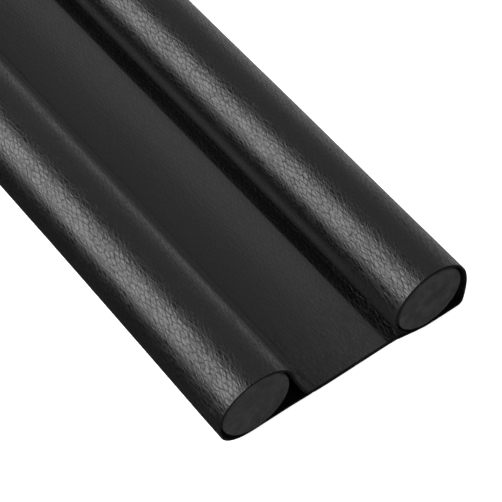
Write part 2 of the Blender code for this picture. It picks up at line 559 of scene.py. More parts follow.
@dataclass(frozen=True)
class Backing:
    """The plain knitted cloth on the back of the leatherette, seen inside the open ends."""

    name: str = "leatherette_backing"
    dark: tuple[float, float, float] = (0.006, 0.006, 0.006)
    pale: tuple[float, float, float] = (0.011, 0.011, 0.011)
    loop: tuple[float, float, float] = (0.0006, 0.0009, 1.0)
    loop_reach: float = 0.3
    depth: float = 0.00012

    def material(self) -> bpy.types.Material:
        """Makes the material.

        Returns:
            The material, on the sheet's own UV map in metres.
        """
        nodes = Nodes(self.name)
        flat = nodes.coordinates("UV")
        loops = nodes.cell_edges(flat, self.loop).eased(0.0, self.loop_reach)
        nodes.emboss(loops, self.depth)
        nodes.tint(loops, self.dark, self.pale)
        nodes.constants(roughness=0.95, metallic=0.0, specular_ior_level=0.2)
        return nodes.material


@dataclass(frozen=True)
class CutEdge:
    """The raw cut edge of the leatherette: a dark coat over a fibrous core."""

    name: str = "leatherette_cut_edge"
    dark: tuple[float, float, float] = (0.0035, 0.0035, 0.0035)
    pale: tuple[float, float, float] = (0.0080, 0.0078, 0.0076)
    fibre: tuple[float, float, float] = (0.0003, 0.0003, 0.0003)
    fibre_range: tuple[float, float] = (0.35, 0.65)
    depth: float = 0.00010

    def material(self) -> bpy.types.Material:
        """Makes the material.

        Returns:
            The material, on Object coordinates.
        """
        nodes = Nodes(self.name)
        fuzz = nodes.noise(nodes.coordinates("Object"), self.fibre, detail=3.0, roughness=0.7)
        nodes.emboss(fuzz, self.depth)
        nodes.tint(fuzz.eased(*self.fibre_range), self.dark, self.pale)
        nodes.constants(roughness=0.9, metallic=0.0, specular_ior_level=0.25)
        return nodes.material


@dataclass(frozen=True)
class FoamSkin:
    """Closed-cell foam: dark grey and matt, with fine cells and faint blotches."""

    name: str = "closed_cell_foam"
    dark: tuple[float, float, float] = (0.0205, 0.0209, 0.0210)
    pale: tuple[float, float, float] = (0.0375, 0.0380, 0.0381)
    cell: float = 0.00055
    cell_reach: float = 0.28
    cell_height: float = 0.7
    cell_tint: float = 0.2
    cell_gloss: float = 0.12
    blotch: float = 0.0045
    blotch_range: tuple[float, float] = (0.3, 0.7)
    blotch_height: float = 0.6
    blotch_tint: float = 0.8
    saw: tuple[float, float, float] = (0.0016, 0.0016, 0.0003)
    saw_height: float = 0.5
    depth: float = 0.00009
    dullness: float = 0.94

    def material(self) -> bpy.types.Material:
        """Makes the material.

        Returns:
            The material, on Object coordinates.
        """
        nodes = Nodes(self.name)
        place = nodes.coordinates("Object")
        cells = nodes.cell_edges(place, (self.cell,) * 3).eased(0.0, self.cell_reach)
        blotches = nodes.noise(place, (self.blotch,) * 3, detail=3.0, roughness=0.55)
        saw = nodes.noise(place, self.saw, detail=1.0)
        relief = cells * self.cell_height + saw * self.saw_height + blotches * self.blotch_height
        nodes.emboss(relief, self.depth)
        paleness = blotches.eased(*self.blotch_range) * self.blotch_tint + cells * self.cell_tint
        nodes.tint(paleness, self.dark, self.pale)
        nodes.feed(nodes.shader.inputs["Roughness"], self.dullness - cells * self.cell_gloss)
        nodes.constants(metallic=0.0, ior=1.45, specular_ior_level=0.35)
        return nodes.material


@dataclass(frozen=True)
class Thread:
    """Black twisted polyester thread."""

    name: str = "sewing_thread"
    dark: tuple[float, float, float] = (0.008, 0.008, 0.008)
    pale: tuple[float, float, float] = (0.024, 0.024, 0.025)
    twist: tuple[float, float, float] = (0.0006, 0.00022, 0.0006)
    twist_range: tuple[float, float] = (0.35, 0.65)
    depth: float = 0.00005

    def material(self) -> bpy.types.Material:
        """Makes the material.

        Returns:
            The material, on Object coordinates.
        """
        nodes = Nodes(self.name)
        plies = nodes.noise(nodes.coordinates("Object"), self.twist, detail=1.0).eased(*self.twist_range)
        nodes.emboss(plies, self.depth)
        nodes.tint(plies, self.dark, self.pale)
        nodes.constants(roughness=0.55, metallic=0.0)
        return nodes.material


@dataclass(frozen=True)
class PaleFloor:
    """The studio's white floor."""

    name: str = "studio_floor"
    white: tuple[float, float, float] = (0.93, 0.93, 0.93)
    glow: float = 0.92

    def material(self) -> bpy.types.Material:
        """Makes the material.

        Returns:
            The material, the same all over.
        """
        nodes = Nodes(self.name)
        nodes.constants(base_color=(*self.white, 1.0), roughness=1.0, specular_ior_level=0.0)
        nodes.constants(emission_color=(1.0, 1.0, 1.0, 1.0), emission_strength=self.glow)
        return nodes.material


# The section of the sleeve


@dataclass(frozen=True)
class Swell:
    """A slow swell along the sleeve."""

    most: float
    length: float
    phase: float

    # A second wave on the first: its length and phase as multiples of the first's, and its share of the swell
    QUICK_WAVE = 0.37
    QUICK_PHASE = 2.3
    QUICK_SHARE = 0.18

    def at(self, y: float) -> float:
        """How far the ply swells at one place.

        Args:
            y: the place along the sleeve.

        Returns:
            The swell, from 0 to its most.
        """
        slow = math.sin(math.tau * y / self.length + self.phase)
        quick = math.sin(math.tau * y / (self.QUICK_WAVE * self.length) + self.QUICK_PHASE * self.phase)
        return self.most * (0.5 + (0.5 - self.QUICK_SHARE) * slow + self.QUICK_SHARE * quick)


def round_point(centre: Point, radii: Point, degrees: float) -> Point:
    """A point on an ellipse.

    Args:
        centre: the ellipse's middle, as (x, z).
        radii: its half width and half height.
        degrees: the angle, from +X towards +Z.

    Returns:
        The point, as (x, z).
    """
    angle = math.radians(degrees)
    return (centre[0] + radii[0] * math.cos(angle), centre[1] + radii[1] * math.sin(angle))


def arc(centre: Point, radii: Point, first: float, last: float, steps: int) -> list[Point]:
    """Points along an ellipse.

    Args:
        centre: the ellipse's middle.
        radii: its half width and half height.
        first: the first angle, in degrees.
        last: the last angle, in degrees.
        steps: the number of steps between them.

    Returns:
        The points.
    """
    return [round_point(centre, radii, first + (last - first) * i / steps) for i in range(steps + 1)]


def straight(start: Point, end: Point, shares: Sequence[float]) -> list[Point]:
    """Points along a straight stretch.

    Args:
        start: its start.
        end: its end.
        shares: how far along it each point is, from 0 to 1.

    Returns:
        The points.
    """
    return [(start[0] + (end[0] - start[0]) * s, start[1] + (end[1] - start[1]) * s) for s in shares]


def bent(start: Point, way_out: Point, end: Point, way_in: Point, steps: int) -> list[Point]:
    """Points along a Bezier curve.

    Args:
        start: its start.
        way_out: the heading in degrees and the pull in metres at the start.
        end: its end.
        way_in: the heading and the pull at the end.
        steps: the number of steps.

    Returns:
        The points.
    """
    out, into = math.radians(way_out[0]), math.radians(way_in[0])
    first = (start[0] + way_out[1] * math.cos(out), start[1] + way_out[1] * math.sin(out))
    second = (end[0] - way_in[1] * math.cos(into), end[1] - way_in[1] * math.sin(into))
    points = []
    for i in range(steps + 1):
        t = i / steps
        weights = ((1 - t) ** 3, 3 * t * (1 - t) ** 2, 3 * t * t * (1 - t), t**3)
        corners = (start, first, second, end)
        x, z = (sum(w * c[k] for w, c in zip(weights, corners)) for k in (0, 1))
        points.append((x, z))
    return points


def clockwise_heading(radii: Point, degrees: float) -> float:
    """The heading of a path that runs clockwise round an ellipse.

    Args:
        radii: the ellipse's half width and half height.
        degrees: the angle that the path has reached.

    Returns:
        The heading, in degrees.
    """
    angle = math.radians(degrees)
    return math.degrees(math.atan2(-radii[1] * math.cos(angle), radii[0] * math.sin(angle)))


def close_to_marks(
    length: float,
    marks: Sequence[float],
    coarse: float,
    fine: float,
    reach: float,
) -> list[float]:
    """Shares of a straight stretch that crowd near some marks.

    Args:
        length: the stretch's length.
        marks: places along it that need short steps.
        coarse: the step away from the marks.
        fine: the step near a mark.
        reach: how far from a mark the short steps go.

    Returns:
        The shares, from 0 to 1.
    """
    places = [0.0]
    while places[-1] < length - fine:
        place = places[-1]
        near = any(abs(place - mark) < reach or place < mark < place + coarse for mark in marks)
        places.append(place + (fine if near else coarse))
    return [place / places[-1] for place in places]


@dataclass
class Section:
    """The sleeve's section: the middle line of the ply, from one cut edge under the web to the other."""

    left_x: float
    right_x: float
    rod_height: float
    length: float
    ply: float = 0.001
    ply_gap: float = 0.0003

    # How the sleeve wraps a rod, from the rod's centre to the middle of the ply, and flares at the near end
    wrap_half_width: float = 0.0156
    end_flare: float = 0.0002
    flare_reach: float = 0.110
    left_ease: Swell = Swell(0.0002, 0.31, 0.4)
    left_crest: Swell = Swell(0.0004, 0.27, 2.1)
    right_ease: Swell = Swell(0.0002, 0.29, 1.3)
    right_crest: Swell = Swell(0.0004, 0.25, 4.4)

    # How far the left roll's lower quarter fills out, as a share of its radii: a round one is 0.55
    belly: float = 0.61
    end_belly: float = 0.07

    # The left pocket's slack side, which slopes down to the left seam, with its angles in degrees
    left_slack: float = 0.0003
    slope_leaves_at: float = 22.0
    slope_foot_heading: float = -62.0
    left_seam: float = 0.0236
    seam_radius: float = 0.0014
    seam_wander: Swell = Swell(0.0003, 0.21, 5.2)
    slope_sag: Swell = Swell(0.0009, 0.23, 3.7)

    # How finely the fold at the right seam is found, in degrees
    fold_tolerance: float = 1e-6

    # The right pocket's slack side, which bulges out and turns at a creased corner
    bulge_leaves_at: float = 58.0
    bulge_growth: Swell = Swell(0.0009, 0.33, 0.9)
    bulge_start_pull: float = 0.0118
    bulge_end_pull: float = 0.0088
    corner_x: float = 0.0144
    corner_radius: float = 0.0021
    corner_turn_starts: float = -9.0

    # The cut edges that meet below the web
    edge_gap: float = 0.00012

    # The near cut: how far it steps back, and how far it leans at the left roll's top and at its foot
    near_step: float = 0.00195
    near_lean: float = 0.00075
    low_lean: float = 0.00050

    # Where the right ply's near cut steps back under the right rod, as shares of the way to the cut edge
    step_starts: float = 0.28
    step_reach: float = 0.40

    # How far the stitches run inside the web's ends
    stitch_inset: float = 0.0016

    # Numbers of steps along the curved stretches, and lengths of those along the straight ones
    left_lower_steps: int = 26
    left_upper_steps: int = 56
    slope_steps: int = 16
    seam_steps: int = 6
    tuck_steps: int = 12
    right_lower_steps: int = 12
    right_upper_steps: int = 42
    bulge_steps: int = 26
    corner_steps: int = 8
    coarse_step: float = 0.0040
    fine_step: float = 0.00045
    fine_reach: float = 0.0013
    web_shares: list[float] = field(default_factory=list)
    left_base_shares: list[float] = field(default_factory=list)
    right_base_shares: list[float] = field(default_factory=list)

    def __post_init__(self) -> None:
        """Works out where the straight stretches need short steps, for the stitches."""
        seams = self.stitch_lines(0.0)
        left_seam, right_seam = self.seam_ends(0.0)
        middle = (left_seam + right_seam) / 2
        web = right_seam - left_seam
        inset = self.stitch_inset
        steps = (self.coarse_step, self.fine_step, self.fine_reach)
        self.web_shares = close_to_marks(web, (inset, web - inset), *steps)
        corner = self.right_x + self.corner_x
        left_run, right_run = middle - self.left_x, corner - middle
        self.left_base_shares = close_to_marks(left_run, (middle - seams[Side.LEFT],), *steps)
        self.right_base_shares = close_to_marks(right_run, (corner - seams[Side.RIGHT],), *steps)

    @property
    def lower_ply(self) -> float:
        """The height of the lower ply's middle."""
        return self.ply / 2

    @property
    def upper_ply(self) -> float:
        """The height of the upper ply's middle, on the web."""
        return self.lower_ply + self.ply + self.ply_gap

    @property
    def wrap_half_height(self) -> float:
        """Half the height of a wrap."""
        return self.rod_height - self.lower_ply

    def near_end(self, y: float) -> float:
        """How close a section is to the near end: 1 at the cut edge and 0 past the flare's reach."""
        return 1.0 - smooth((y + self.length / 2) / self.flare_reach)

    def wrap_radii(self, ease: Swell, crest: Swell, y: float) -> tuple[Point, Point]:
        """The half width and half height of a wrap.

        Args:
            ease: how its sides give.
            crest: how its top swells.
            y: the place along the sleeve.

        Returns:
            The radii of its lower half and of its upper half.
        """
        flare = self.end_flare * self.near_end(y)
        half_width = self.wrap_half_width + flare - ease.at(y) * (1 - self.near_end(y))
        upper_height = self.wrap_half_height + crest.at(y) + flare / 2
        return (half_width, self.wrap_half_height), (half_width, upper_height)

    def tuck(self, y: float) -> tuple[float, Point, float]:
        """The fold at the right seam.

        Args:
            y: the place along the sleeve.

        Returns:
            The angle at which the ply meets the wrap, the fold's centre, and the fold's last angle.
        """
        centre = (self.right_x, self.rod_height)
        radii, _ = self.wrap_radii(self.right_ease, self.right_crest, y)
        low, high = 180.0, 270.0
        meets, fold, outward = low, centre, Vector((0.0, -1.0))
        while high - low > self.fold_tolerance:
            meets = (low + high) / 2
            point = round_point(centre, radii, meets)
            angle = math.radians(meets)
            outward = Vector((radii[1] * math.cos(angle), radii[0] * math.sin(angle))).normalized()
            fold = (point[0] + self.seam_radius * outward.x, point[1] + self.seam_radius * outward.y)
            if fold[1] - self.seam_radius > self.upper_ply:
                low = meets
            else:
                high = meets
        return meets, fold, math.degrees(math.atan2(-outward.y, -outward.x))

    def seam_ends(self, y: float) -> Point:
        """Where the flat of the web starts and ends.

        Args:
            y: the place along the sleeve.

        Returns:
            The two places across the sleeve.
        """
        return self.left_x + self.left_seam + self.seam_wander.at(y), self.tuck(y)[1][0]

    def stitch_lines(self, y: float) -> dict[Side, float]:
        """Where the two rows of stitches run.

        Args:
            y: the place along the sleeve.

        Returns:
            Each row's place across the sleeve.
        """
        left, right = self.seam_ends(y)
        return {Side.LEFT: left + self.stitch_inset, Side.RIGHT: right - self.stitch_inset}

    def left_pocket(self, y: float) -> list[list[Point]]:
        """The ply round the left rod.

        Args:
            y: the place along the sleeve.

        Returns:
            Its stretches, from under the rod to the left seam.
        """
        centre = (self.left_x, self.rod_height)
        lower, upper = self.wrap_radii(self.left_ease, self.left_crest, y)
        slack_centre = (self.left_x + self.left_slack / 2, self.rod_height)
        upper = (upper[0] + self.left_slack / 2, upper[1])
        leaves = round_point(slack_centre, upper, self.slope_leaves_at)
        fold = (self.seam_ends(y)[0], self.upper_ply + self.seam_radius)
        radii = (self.seam_radius, self.seam_radius)
        foot_angle = self.slope_foot_heading - 90.0
        foot = round_point(fold, radii, foot_angle)
        run = math.dist(leaves, foot) / 3
        sag = math.degrees(self.slope_sag.at(y) / run)
        way_out = (clockwise_heading(upper, self.slope_leaves_at) - sag, run)
        belly = self.belly + self.end_belly * self.near_end(y)
        lowest, widest = (round_point(centre, lower, angle) for angle in (270.0, 180.0))
        return [
            bent(lowest, (180.0, belly * lower[0]), widest, (90.0, belly * lower[1]), self.left_lower_steps),
            arc(slack_centre, upper, 180.0, self.slope_leaves_at, self.left_upper_steps),
            bent(leaves, way_out, foot, (self.slope_foot_heading + sag, run), self.slope_steps),
            arc(fold, radii, foot_angle, -90.0, self.seam_steps),
        ]

    def right_pocket(self, y: float) -> list[list[Point]]:
        """The ply round the right rod.

        Args:
            y: the place along the sleeve.

        Returns:
            Its stretches, from the right seam's fold to the corner on the floor.
        """
        centre = (self.right_x, self.rod_height)
        lower, upper = self.wrap_radii(self.right_ease, self.right_crest, y)
        meets, fold, last = self.tuck(y)
        growth = self.bulge_growth.at(y) * (1 - self.near_end(y))
        leaves = round_point(centre, upper, self.bulge_leaves_at)
        corner = (self.right_x + self.corner_x + growth / 2, self.lower_ply + self.corner_radius)
        corner_radii = (self.corner_radius, self.corner_radius)
        turns = round_point(corner, corner_radii, self.corner_turn_starts)
        way_out = (clockwise_heading(upper, self.bulge_leaves_at), self.bulge_start_pull + growth)
        way_in = (self.corner_turn_starts - 90.0, self.bulge_end_pull + growth)
        return [
            arc(fold, (self.seam_radius, self.seam_radius), -90.0, last, self.tuck_steps),
            arc(centre, lower, meets, 180.0, self.right_lower_steps),
            arc(centre, upper, 180.0, self.bulge_leaves_at, self.right_upper_steps),
            bent(leaves, way_out, turns, way_in, self.bulge_steps),
            arc(corner, corner_radii, self.corner_turn_starts, -90.0, self.corner_steps),
        ]

    def points(self, y: float) -> list[Point]:
        """The whole middle line at one place along the sleeve.

        Args:
            y: the place along the sleeve.

        Returns:
            The points, as (x, z).
        """
        left = self.left_pocket(y)
        right = self.right_pocket(y)
        middle = sum(self.seam_ends(y)) / 2
        first_edge = (middle - self.edge_gap / 2, self.lower_ply)
        last_edge = (middle + self.edge_gap / 2, self.lower_ply)
        runs = [
            straight(first_edge, left[0][0], self.left_base_shares),
            *left,
            straight(left[-1][-1], right[0][0], self.web_shares),
            *right,
            straight(right[-1][-1], last_edge, self.right_base_shares),
        ]
        line = [runs[0][0]]
        for run in runs:
            line += run[1:]
        return line

    def step_shares(self) -> list[float]:
        """How much of the near end's step each point takes.

        Returns:
            1 on the left roll, the web and under it, and 0 on the right roll, which reaches furthest.
        """
        left = len(self.left_base_shares) + self.left_lower_steps + self.left_upper_steps
        left += self.slope_steps + self.seam_steps + len(self.web_shares) - 1
        roll = self.right_lower_steps + self.right_upper_steps + self.bulge_steps + self.corner_steps
        tucked = [1.0 - smooth(i / self.tuck_steps) for i in range(1, self.tuck_steps + 1)]
        below = [smooth((share - self.step_starts) / self.step_reach) for share in self.right_base_shares[1:]]
        return [1.0] * left + tucked + [0.0] * roll + below


# The pieces


@dataclass
class Sleeve:
    """The leatherette sheet, folded finely along the section."""

    section: Section

    # Steps along the sleeve, short at the near end and growing away from it
    near_step_length: float = 0.0012
    near_stretch: float = 0.050
    far_step_length: float = 0.0125
    growth: float = 1.055

    # The unevenness of the rolls: its sizes across and along, and its heights
    broad_across: float = 0.020
    broad_along: float = 0.060
    broad_height: float = 0.00008
    drawn_across: float = 0.0050
    drawn_along: float = 0.022
    drawn_slant: float = 0.050
    drawn_height: float = 0.00003
    near_drawn_height: float = 0.00006
    near_drawn_reach: float = 0.060

    # The height at which the unevenness starts, and how much higher it is whole
    free_above: float = 0.0032
    free_over: float = 0.0020

    # How the stitches dent the web's plies
    dent_half_width: float = 0.0007
    lower_dent: float = 0.00028
    upper_dent: float = 0.00012

    # The cut edge's rounding, the least angle that counts as an edge, and the most that is shaded smooth
    edge_round: float = 0.00016
    edge_angle: float = 70.0
    smooth_angle: float = 40.0

    # Two layers of the noise, far enough apart to have nothing in common
    BROAD_LAYER = 3.1
    DRAWN_LAYER = 8.7

    def stations(self) -> np.ndarray:
        """Places along the sleeve, crowded at the near end.

        Returns:
            The places, from the near end to the far one.
        """
        places = [0.0]
        step = self.near_step_length
        while places[-1] < self.section.length - self.near_step_length:
            if places[-1] > self.near_stretch:
                step = min(self.far_step_length, step * self.growth)
            places.append(places[-1] + step)
        return np.array(places) * (self.section.length / places[-1]) - self.section.length / 2

    def relief(self, along: float, y: float, share: float) -> float:
        """How far the sheet stands out of its plain section.

        Args:
            along: the distance along the section.
            y: the place along the sleeve.
            share: how freely the sheet can move there, 1 on the rolls and 0 on the flat plies.

        Returns:
            The distance outwards.
        """
        near = 1.0 - smooth((y + self.section.length / 2) / self.near_drawn_reach)
        broad = noise.noise(Vector((along / self.broad_across, y / self.broad_along, self.BROAD_LAYER)))
        across = along / self.drawn_across + y / self.drawn_slant
        drawn = noise.noise(Vector((across, y / self.drawn_along, self.DRAWN_LAYER)))
        drawn_height = self.drawn_height + self.near_drawn_height * near
        return share * (self.broad_height * broad + drawn_height * drawn)

    def build(self) -> bpy.types.Object:
        """Folds the sheet and gives it its thickness.

        Returns:
            The sheet.
        """
        ys = self.stations()
        lines = np.array([self.section.points(y) for y in ys])
        rows, columns = lines.shape[:2]
        steps = np.hypot(*np.moveaxis(np.diff(lines, axis=1), 2, 0))
        along = np.concatenate([np.zeros((rows, 1)), np.cumsum(steps, axis=1)], axis=1)
        along -= along[:, -1:] / 2
        heading = np.gradient(lines, axis=1)
        outward = np.stack([-heading[..., 1], heading[..., 0]], axis=2)
        outward /= np.linalg.norm(outward, axis=2, keepdims=True)
        free = np.clip((lines[..., 1] - self.free_above) / self.free_over, 0.0, 1.0)
        lift = np.zeros((rows, columns))
        for row, y in enumerate(ys):
            for column in range(columns):
                if free[row, column]:
                    lift[row, column] = self.relief(along[row, column], y, free[row, column])
        lines = lines + outward * lift[..., None]
        lines[..., 1] += self.dents(lines, ys)
        places = np.stack([lines[..., 0], ys[:, None] + self.near_trim(lines, ys), lines[..., 1]], axis=2)
        return self.sheet_from(places, along)

    def near_trim(self, lines: np.ndarray, ys: np.ndarray) -> np.ndarray:
        """How far the near cut is set back, which leans at the left roll.

        Args:
            lines: the section's points, as (x, z), a row for each station.
            ys: the stations.

        Returns:
            How far each point moves along the sleeve.
        """
        cut = self.section
        shares = np.array(cut.step_shares())[None, :]
        near = np.array([cut.near_end(y) for y in ys])[:, None]
        across = np.clip((lines[..., 0] - cut.left_x - cut.left_seam / 2) / cut.left_seam, 0.0, 1.0)
        rolled = 1.0 - across * across * (3.0 - 2.0 * across)
        below = (cut.rod_height - lines[..., 1]) / cut.rod_height
        lean = rolled * below * np.where(below > 0.0, cut.low_lean, cut.near_lean)
        return shares * near * (cut.near_step + lean)

    def dents(self, lines: np.ndarray, ys: np.ndarray) -> np.ndarray:
        """How the stitches pull the two plies of the web together.

        Args:
            lines: the section's points, as (x, z), a row for each station.
            ys: the stations.

        Returns:
            The rise of each point, which is a drop on the upper ply.
        """
        rise = np.zeros(lines.shape[:2])
        on_lower = abs(lines[..., 1] - self.section.lower_ply) < SAME_PLACE
        on_upper = abs(lines[..., 1] - self.section.upper_ply) < SAME_PLACE
        for side in Side:
            seam = np.array([self.section.stitch_lines(y)[side] for y in ys])
            off = (lines[..., 0] - seam[:, None]) / self.dent_half_width
            rise += np.exp(-off * off) * (on_lower * self.lower_dent - on_upper * self.upper_dent)
        return rise

    def sheet_from(self, places: np.ndarray, along: np.ndarray) -> bpy.types.Object:
        """Makes the mesh: a flat grid moved to its folded places, then thickened.

        Args:
            places: the middle of the sheet, a row for each station.
            along: each point's distance along the section.

        Returns:
            The sheet.
        """
        rows, columns = along.shape
        deselect_all()
        bpy.ops.mesh.primitive_grid_add(x_subdivisions=columns - 1, y_subdivisions=rows - 1, size=1.0)
        sheet = bpy.context.object
        sheet.name = "leatherette_sleeve"
        mesh = sheet.data
        flat = np.zeros(len(mesh.vertices) * 3)
        mesh.vertices.foreach_get("co", flat)
        flat = flat.reshape(-1, 3)
        column = np.rint((flat[:, 0] + 0.5) * (columns - 1)).astype(int)
        row = np.rint((flat[:, 1] + 0.5) * (rows - 1)).astype(int)
        mesh.vertices.foreach_set("co", places[row, column].ravel())
        corners = np.zeros(len(mesh.loops), dtype=np.int32)
        mesh.loops.foreach_get("vertex_index", corners)
        chart = np.stack([along[row, column], places[row, column][:, 1]], axis=1)
        mesh.uv_layers.active.data.foreach_set("uv", chart[corners].ravel())
        mesh.update()
        for finish in (Leatherette(-self.section.length / 2), Backing(), CutEdge()):
            mesh.materials.append(finish.material())
        ply = sheet.modifiers.new("Ply", "SOLIDIFY")
        ply.thickness = self.section.ply
        ply.offset = 0.0
        ply.use_even_offset = True
        ply.use_rim = True
        ply.material_offset = 1
        ply.material_offset_rim = 2
        edge = sheet.modifiers.new("Cut edge", "BEVEL")
        edge.width = self.edge_round
        edge.segments = 1
        edge.limit_method = "ANGLE"
        edge.angle_limit = math.radians(self.edge_angle)
        edge.material = 2
        apply_modifiers(sheet)
        bpy.ops.object.shade_smooth_by_angle(angle=math.radians(self.smooth_angle))
        return sheet


@dataclass
class FoamRod:
    """A foam rod, sawn to length, whose ends show in the open pockets."""

    side: Side
    low: Vector
    high: Vector
    sides: int = 96
    rim: float = 0.0009
    rim_steps: int = 4
    face_rings: int = 5
    bays: int = 40
    smooth_angle: float = 50.0

    # The sawn end faces: dish, ripple, a ripple's size across and up, and their share of the radius
    dish: float = 0.00012
    saw_relief: float = 0.00010
    ripple_across: float = 0.006
    ripple_up: float = 0.0022
    sawn_share: float = 0.97

    # How many layers of the noise a metre of rod spans, so that the two ends differ
    END_LAYERS = 9.0

    def build(self) -> bpy.types.Object:
        """Makes the rod.

        Returns:
            The rod.
        """
        centre = (self.low + self.high) / 2
        radius = (self.high.x - self.low.x) / 2
        length = self.high.y - self.low.y
        deselect_all()
        bpy.ops.mesh.primitive_cylinder_add(
            vertices=self.sides,
            radius=radius,
            depth=length,
            end_fill_type="NGON",
            location=centre,
            rotation=(math.radians(90.0), 0.0, 0.0),
        )
        rod = bpy.context.object
        rod.name = f"foam_rod_{self.side.value}"
        settle_place(rod)
        self.shape_ends(rod, radius)
        self.saw_faces(rod, centre, radius, length)
        rod.data.materials.append(FoamSkin().material())
        bpy.ops.object.shade_smooth_by_angle(angle=math.radians(self.smooth_angle))
        return rod

    def pick_end_faces(self, rod: bpy.types.Object) -> None:
        """Selects the two end faces, from edit mode and back to it.

        Args:
            rod: the rod, in face mode.
        """
        bpy.ops.mesh.select_all(action="DESELECT")
        bpy.ops.object.mode_set(mode="OBJECT")
        for face in rod.data.polygons:
            face.select = len(face.vertices) == self.sides
        bpy.ops.object.mode_set(mode="EDIT")

    def shape_ends(self, rod: bpy.types.Object, radius: float) -> None:
        """Rounds the rims and rings the end faces.

        Args:
            rod: the rod, which is the active object.
            radius: its radius.
        """
        bpy.ops.object.mode_set(mode="EDIT")
        bpy.ops.mesh.select_mode(type="EDGE")
        bpy.ops.mesh.select_all(action="DESELECT")
        bpy.ops.object.mode_set(mode="OBJECT")
        for edge in rod.data.edges:
            ends = [rod.data.vertices[i].co.y for i in edge.vertices]
            edge.select = abs(ends[0] - ends[1]) > self.rim
        bpy.ops.object.mode_set(mode="EDIT")
        bpy.ops.mesh.subdivide(number_cuts=self.bays)
        bpy.ops.mesh.select_mode(type="FACE")
        self.pick_end_faces(rod)
        bpy.ops.mesh.bevel(offset=self.rim, segments=self.rim_steps, affect="EDGES")
        self.pick_end_faces(rod)
        ring = (radius - self.rim) / (self.face_rings + 1)
        for _ in range(self.face_rings):
            bpy.ops.mesh.inset(thickness=ring, use_even_offset=True)
        bpy.ops.mesh.poke()
        bpy.ops.object.mode_set(mode="OBJECT")

    def saw_faces(self, rod: bpy.types.Object, centre: Vector, radius: float, length: float) -> None:
        """Leaves the end faces a little dished and uneven from the saw.

        Args:
            rod: the rod.
            centre: its middle.
            radius: its radius.
            length: its length.
        """
        for vertex in rod.data.vertices:
            out = vertex.co - centre
            reach = math.hypot(out.x, out.z) / radius
            if abs(abs(out.y) - length / 2) > SAME_PLACE or reach > self.sawn_share:
                continue
            across, up = vertex.co.x / self.ripple_across, vertex.co.z / self.ripple_up
            ripple = noise.noise(Vector((across, out.y * self.END_LAYERS, up)))
            inward = self.dish * (1.0 - reach * reach) + self.saw_relief * (0.5 + 0.5 * ripple)
            vertex.co.y -= math.copysign(inward, out.y)


@dataclass
class Stitching:
    """A row of lockstitch beside each roll, which sews the web's plies together."""

    section: Section
    pitch: float = 0.0030
    thread: float = 0.00042
    stitch_share: float = 0.86
    end_margin: float = 0.004
    sink: float = 0.00016

    # A stitch's ends dip into the ply: where from, as a share of the pitch, and by what share of the thread
    dips_from: float = 0.38
    dip: float = 0.45

    def build(self) -> bpy.types.Object:
        """Makes both rows, above and below, as one piece.

        Returns:
            The stitches.
        """
        rows = []
        for side in Side:
            rows.append(self.row(side, self.section.upper_ply + self.section.ply / 2 - self.sink, 1.0))
            rows.append(self.row(side, self.sink + self.thread / 2, -1.0))
        pick(*rows)
        bpy.ops.object.join()
        stitches = bpy.context.object
        stitches.name = "web_stitches"
        stitches.data.materials.append(Thread().material())
        bpy.ops.object.shade_smooth()
        return stitches

    def row(self, side: Side, height: float, up: float) -> bpy.types.Object:
        """One row on one face of the web.

        Args:
            side: the seam that it runs beside.
            height: the height of the thread's middle.
            up: 1 for a row on top and -1 for one below, whose ends dip the other way.

        Returns:
            The row.
        """
        first = -self.section.length / 2 + self.section.near_step + self.end_margin
        count = int((self.section.length / 2 - self.end_margin - first) / self.pitch)
        deselect_all()
        place = (0.0, first, height)
        bpy.ops.mesh.primitive_uv_sphere_add(segments=6, ring_count=6, radius=0.5, location=place)
        stitch = bpy.context.object
        stitch.rotation_euler = (math.radians(90.0), 0.0, 0.0)
        stitch.scale = (self.thread, self.thread, self.pitch * self.stitch_share)
        settle_place(stitch)
        for vertex in stitch.data.vertices:
            vertex.select = abs(vertex.co.y - first) > self.dips_from * self.pitch
        bpy.ops.object.mode_set(mode="EDIT")
        bpy.ops.transform.translate(value=(0.0, 0.0, -up * self.dip * self.thread))
        bpy.ops.object.mode_set(mode="OBJECT")
        run = stitch.modifiers.new("Row", "ARRAY")
        run.use_relative_offset = False
        run.use_constant_offset = True
        run.constant_offset_displace = (0.0, self.pitch, 0.0)
        run.count = count
        apply_modifiers(stitch)
        for vertex in stitch.data.vertices:
            vertex.co.x += self.section.stitch_lines(vertex.co.y)[side]
        return stitch


# The studio


def hang_lamp(name: str, width: float, height: float, radiance: float) -> bpy.types.Object:
    """Makes a rectangular lamp.

    Args:
        name: its name.
        width: its width.
        height: its height.
        radiance: how bright it is, whatever its size.

    Returns:
        The lamp, facing down at the origin.
    """
    data = bpy.data.lights.new(name, "AREA")
    data.shape = "RECTANGLE"
    data.size = width
    data.size_y = height
    data.energy = radiance * math.pi * width * height
    lamp = bpy.data.objects.new(name, data)
    bpy.context.scene.collection.objects.link(lamp)
    return lamp


@dataclass(frozen=True)
class SoftLight:
    """A soft rectangular lamp that looks at the near end."""

    name: str
    towards: tuple[float, float, float]
    distance: float
    width: float
    height: float
    radiance: float

    def build(self, target: Vector) -> None:
        """Hangs the lamp.

        Args:
            target: the point that it looks at.
        """
        lamp = hang_lamp(self.name, self.width, self.height, self.radiance)
        way = Vector(self.towards).normalized()
        lamp.location = target + way * self.distance
        lamp.rotation_euler = (-way).to_track_quat("-Z", "Y").to_euler()


